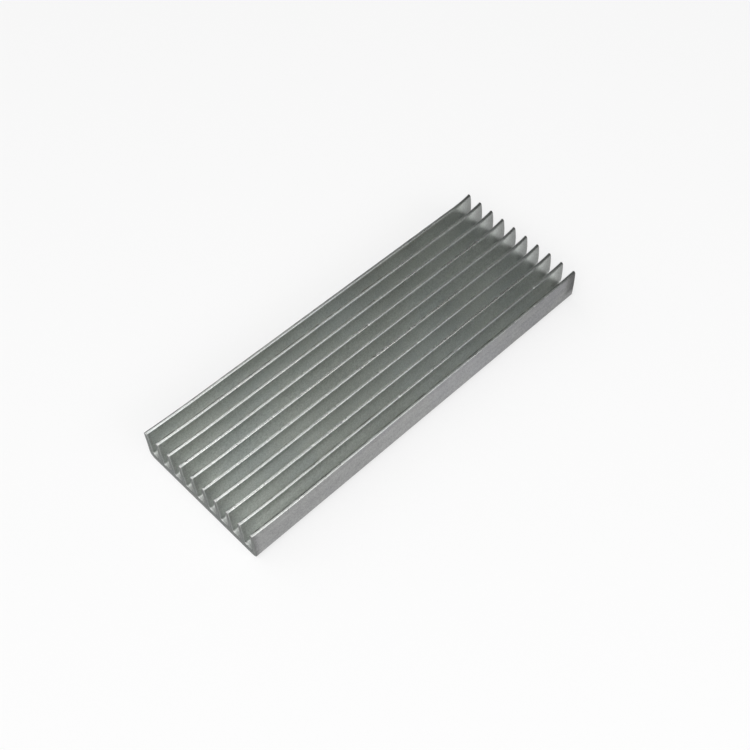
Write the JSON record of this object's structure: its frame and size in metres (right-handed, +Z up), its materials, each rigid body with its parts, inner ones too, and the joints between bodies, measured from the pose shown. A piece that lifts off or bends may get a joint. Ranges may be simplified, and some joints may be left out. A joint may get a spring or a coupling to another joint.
{
  "type": "extruded heat sink",
  "caption": "Flat rectangular aluminium heat sink with straight parallel fins along its length, plain cut ends and rounded lower edges.",
  "frame": {"origin": "middle of the flat underside of the base", "axes": "+X along the fins towards the end where the tips are curled, +Y towards the side the tips lean to, +Z up out of the base through the fin tips"},
  "size_m": [0.1, 0.0353, 0.009],
  "materials": {
    "bare_aluminium": "mill finish, satin"
  },
  "bodies": {
    "root": {"heat_sink": "bare_aluminium"}
  },
  "joints": []
}
